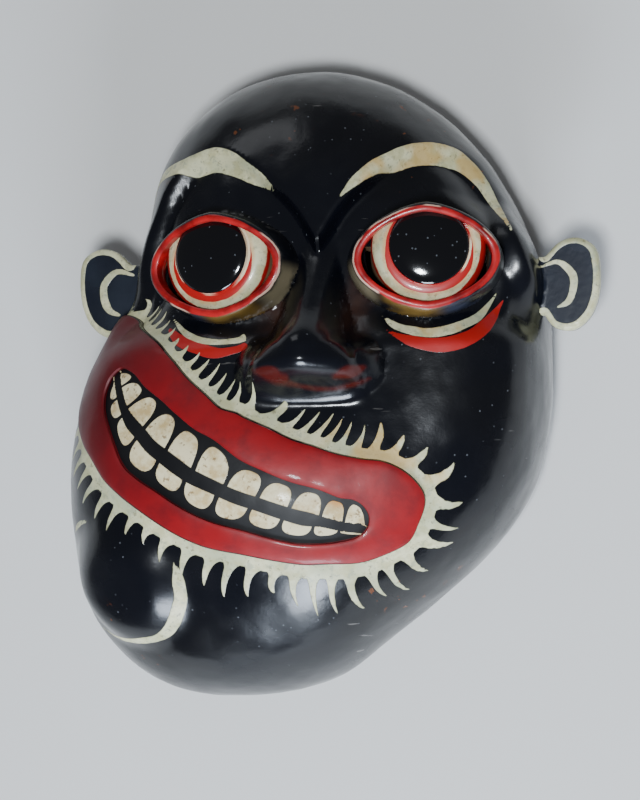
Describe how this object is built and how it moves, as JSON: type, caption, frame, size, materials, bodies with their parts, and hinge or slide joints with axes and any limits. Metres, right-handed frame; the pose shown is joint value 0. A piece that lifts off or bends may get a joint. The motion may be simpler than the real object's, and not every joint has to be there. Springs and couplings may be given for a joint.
{
  "type": "carved wooden demon mask",
  "caption": "Hollow carved and lacquered wooden dance mask of a demon with bulging eyes, round ears and a wide crooked grin, lying on its flat rim.",
  "frame": {"origin": "centre of the bounding box at the plane of the flat back rim", "axes": "+X to the viewer's right, +Y towards the crown, +Z out of the face; the mask lies on its rim, face up"},
  "size_m": [0.209, 0.2434, 0.1164],
  "materials": {
    "lacquered_wood": "glossy near-black lacquer with red and ivory paint, bare wood inside"
  },
  "bodies": {
    "root": {"mask": "lacquered_wood"}
  },
  "joints": []
}
